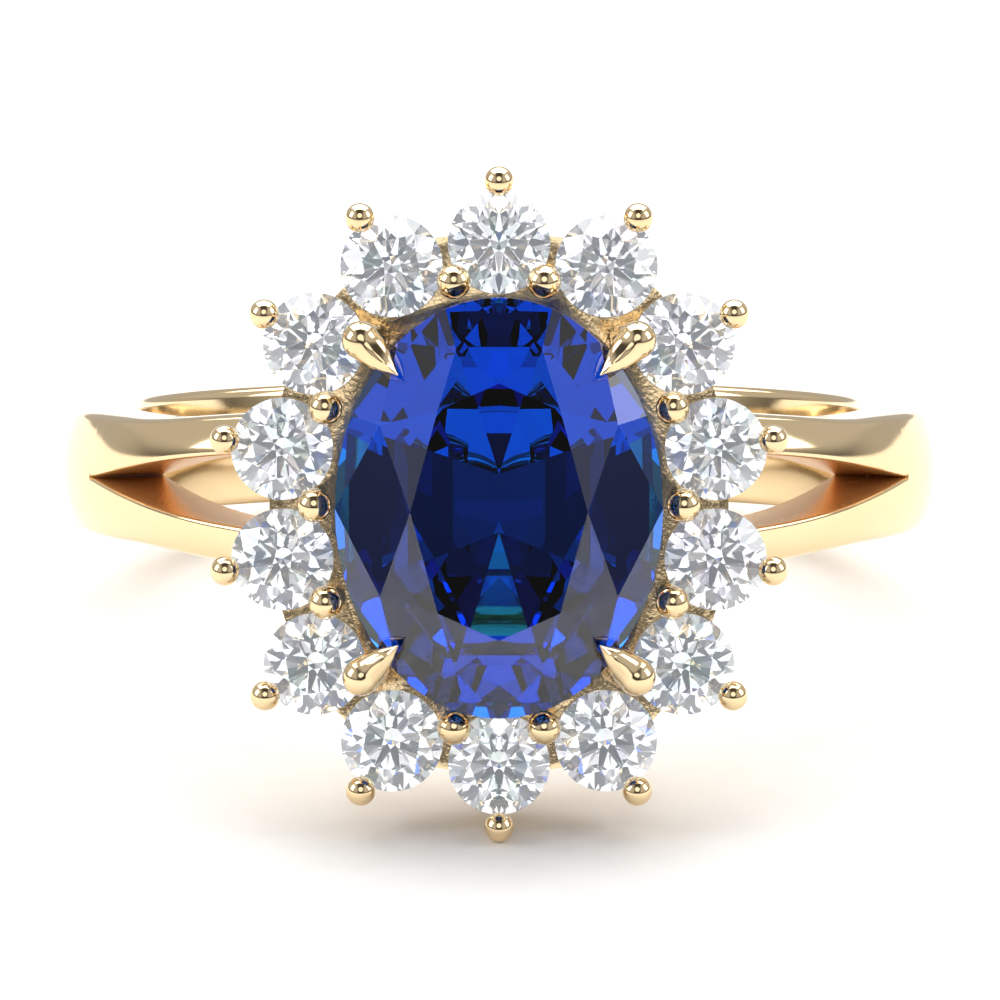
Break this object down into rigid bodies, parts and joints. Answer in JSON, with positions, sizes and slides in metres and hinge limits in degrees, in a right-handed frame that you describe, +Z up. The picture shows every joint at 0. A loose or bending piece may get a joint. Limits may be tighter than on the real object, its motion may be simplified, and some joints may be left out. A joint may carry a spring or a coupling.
{
  "type": "engagement ring",
  "caption": "Yellow gold cluster ring with an oval blue sapphire in eagle claws, a halo of round diamonds in ball-tipped prongs, and a split-shoulder hoop, lying at rest.",
  "frame": {"origin": "on the table, under the middle of the resting ring's box", "axes": "+Z up, +X across the finger hole from shoulder to shoulder, -Y the way the head faces; the ring lies on its side with its head lifted by about 15 degrees"},
  "size_m": [0.0204, 0.0246, 0.0141],
  "materials": {
    "gold": "polished 18k yellow gold",
    "sapphire": "polished, faceted",
    "diamond": "polished, faceted"
  },
  "bodies": {
    "root": {"centre_sapphire": "sapphire", "halo_diamond_01": "diamond", "halo_diamond_02": "diamond", "halo_diamond_03": "diamond", "halo_diamond_04": "diamond", "halo_diamond_05": "diamond", "halo_diamond_06": "diamond", "halo_diamond_07": "diamond", "halo_diamond_08": "diamond", "halo_diamond_09": "diamond", "halo_diamond_10": "diamond", "halo_diamond_11": "diamond", "halo_diamond_12": "diamond", "halo_diamond_13": "diamond", "halo_diamond_14": "diamond", "outer_prong_01": "gold", "outer_prong_02": "gold", "outer_prong_03": "gold", "outer_prong_04": "gold", "outer_prong_05": "gold", "outer_prong_06": "gold", "outer_prong_07": "gold", "outer_prong_08": "gold", "outer_prong_09": "gold", "outer_prong_10": "gold", "outer_prong_11": "gold", "outer_prong_12": "gold", "outer_prong_13": "gold", "outer_prong_14": "gold", "inner_prong_01": "gold", "inner_prong_02": "gold", "inner_prong_03": "gold", "inner_prong_04": "gold", "inner_prong_05": "gold", "inner_prong_06": "gold", "inner_prong_07": "gold", "inner_prong_08": "gold", "inner_prong_09": "gold", "inner_prong_10": "gold", "claw_upper_right": "gold", "claw_lower_right": "gold", "claw_lower_left": "gold", "claw_upper_left": "gold", "halo_seat_plate": "gold", "centre_collar": "gold", "halo_lower_rail": "gold", "claw_base_rail": "gold", "gallery_post_upper_right": "gold", "gallery_post_lower_right": "gold", "gallery_post_lower_left": "gold", "gallery_post_upper_left": "gold", "shank_band": "gold", "shoulder_rail_upper": "gold", "shoulder_rail_lower": "gold"}
  },
  "joints": []
}
